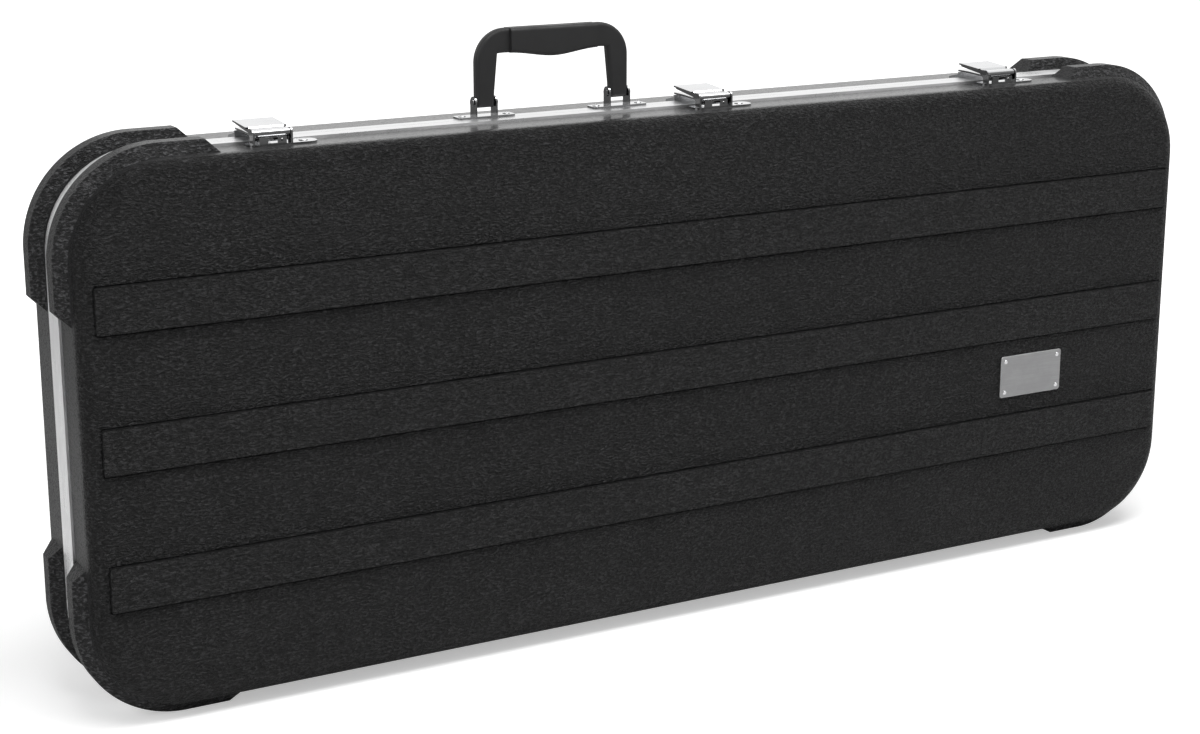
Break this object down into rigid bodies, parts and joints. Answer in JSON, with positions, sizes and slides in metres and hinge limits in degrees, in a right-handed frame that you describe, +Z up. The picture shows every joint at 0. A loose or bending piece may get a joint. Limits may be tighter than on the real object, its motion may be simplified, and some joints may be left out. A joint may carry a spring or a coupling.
{
  "type": "electric guitar case",
  "caption": "Rectangular hard guitar case in grained black plastic with an aluminium closing frame, corner bumpers, draw latches, a carrying handle and a padded pocket inside.",
  "frame": {"origin": "on the floor under the middle of the case", "axes": "+X along the case to the viewer's right, +Y out of the base half, -Y out of the lid half, +Z up with the case on its hinge edge"},
  "size_m": [1.073, 0.1236, 0.5097],
  "materials": {
    "shell_plastic": "grained black moulded plastic",
    "bumper_plastic": "grained black bumper plastic",
    "frame_aluminium": "brushed extruded aluminium",
    "handle_plastic": "smooth satin black plastic",
    "foot_chrome": "bright plated steel",
    "keeper_steel": "dark plated steel",
    "latch_chrome": "bright plated steel",
    "hinge_steel": "plated steel",
    "nameplate_metal": "satin grey metal",
    "rivet_metal": "satin metal",
    "liner_plush": "black plush over foam",
    "box_plastic": "satin black plastic"
  },
  "bodies": {
    "base": {"base_bumper_bottom_left": "bumper_plastic", "base_bumper_bottom_right": "bumper_plastic", "base_bumper_top_left": "bumper_plastic", "base_bumper_top_right": "bumper_plastic", "base_frame": "frame_aluminium", "base_liner": "liner_plush", "base_shell": "shell_plastic", "handle_foot_left": "foot_chrome", "handle_foot_right": "foot_chrome", "handle_pin_left": "foot_chrome", "handle_pin_right": "foot_chrome", "hinge_base_leaf_left": "hinge_steel", "hinge_base_leaf_middle": "hinge_steel", "hinge_base_leaf_right": "hinge_steel", "hinge_pin_left": "hinge_steel", "hinge_pin_middle": "hinge_steel", "hinge_pin_right": "hinge_steel", "latch_keeper_left": "keeper_steel", "latch_keeper_middle": "keeper_steel", "latch_keeper_right": "keeper_steel", "neck_rest": "liner_plush", "small_parts_box": "box_plastic"},
    "lid": {"hinge_lid_leaf_left": "hinge_steel", "hinge_lid_leaf_middle": "hinge_steel", "hinge_lid_leaf_right": "hinge_steel", "latch_bracket_left": "latch_chrome", "latch_bracket_middle": "latch_chrome", "latch_bracket_right": "latch_chrome", "latch_lever_pin_left": "latch_chrome", "latch_lever_pin_middle": "latch_chrome", "latch_lever_pin_right": "latch_chrome", "lid_bumper_bottom_left": "bumper_plastic", "lid_bumper_bottom_right": "bumper_plastic", "lid_bumper_top_left": "bumper_plastic", "lid_bumper_top_right": "bumper_plastic", "lid_frame": "frame_aluminium", "lid_liner": "liner_plush", "lid_shell": "shell_plastic", "nameplate": "nameplate_metal", "nameplate_rivets": "rivet_metal"},
    "handle": {"handle": "handle_plastic"},
    "small_parts_door": {"small_parts_door": "box_plastic"},
    "latch_lever_left": {"latch_lever_left": "latch_chrome", "latch_link_pin_left": "latch_chrome"},
    "latch_hook_left": {"latch_hook_left": "latch_chrome"},
    "latch_lever_middle": {"latch_lever_middle": "latch_chrome", "latch_link_pin_middle": "latch_chrome"},
    "latch_hook_middle": {"latch_hook_middle": "latch_chrome"},
    "latch_lever_right": {"latch_lever_right": "latch_chrome", "latch_link_pin_right": "latch_chrome"},
    "latch_hook_right": {"latch_hook_right": "latch_chrome"}
  },
  "joints": [
    {"name": "lid_hinge", "type": "hinge", "parent": "base", "child": "lid", "pos_m": [0, -0.0032, 0.005], "axis": [1, 0, 0], "range_deg": [0, 100]},
    {"name": "handle_hinge", "type": "hinge", "parent": "base", "child": "handle", "pos_m": [-0.1027, 0.0046, 0.4511], "axis": [1, 0, 0], "range_deg": [-90, 90]},
    {"name": "small_parts_door_hinge", "type": "hinge", "parent": "base", "child": "small_parts_door", "pos_m": [0.15, 0.00345, 0.1606], "axis": [-1, 0, 0], "range_deg": [0, 80]},
    {"name": "latch_lever_hinge_left", "type": "hinge", "parent": "lid", "child": "latch_lever_left", "pos_m": [-0.3623, -0.033, 0.4466], "axis": [1, 0, 0], "range_deg": [0, 100]},
    {"name": "latch_hook_hinge_left", "type": "hinge", "parent": "latch_lever_left", "child": "latch_hook_left", "pos_m": [-0.3623, -0.0294, 0.442], "axis": [1, 0, 0], "range_deg": [-85, 0]},
    {"name": "latch_lever_hinge_middle", "type": "hinge", "parent": "lid", "child": "latch_lever_middle", "pos_m": [0.031, -0.033, 0.4466], "axis": [1, 0, 0], "range_deg": [0, 100]},
    {"name": "latch_hook_hinge_middle", "type": "hinge", "parent": "latch_lever_middle", "child": "latch_hook_middle", "pos_m": [0.031, -0.0294, 0.442], "axis": [1, 0, 0], "range_deg": [-85, 0]},
    {"name": "latch_lever_hinge_right", "type": "hinge", "parent": "lid", "child": "latch_lever_right", "pos_m": [0.3333, -0.033, 0.4466], "axis": [1, 0, 0], "range_deg": [0, 100]},
    {"name": "latch_hook_hinge_right", "type": "hinge", "parent": "latch_lever_right", "child": "latch_hook_right", "pos_m": [0.3333, -0.0294, 0.442], "axis": [1, 0, 0], "range_deg": [-85, 0]}
  ],
  "couplings": [
    {"joint": "latch_hook_hinge_left", "follows": "latch_lever_hinge_left", "ratio": -0.85},
    {"joint": "latch_hook_hinge_middle", "follows": "latch_lever_hinge_middle", "ratio": -0.85},
    {"joint": "latch_hook_hinge_right", "follows": "latch_lever_hinge_right", "ratio": -0.85}
  ]
}
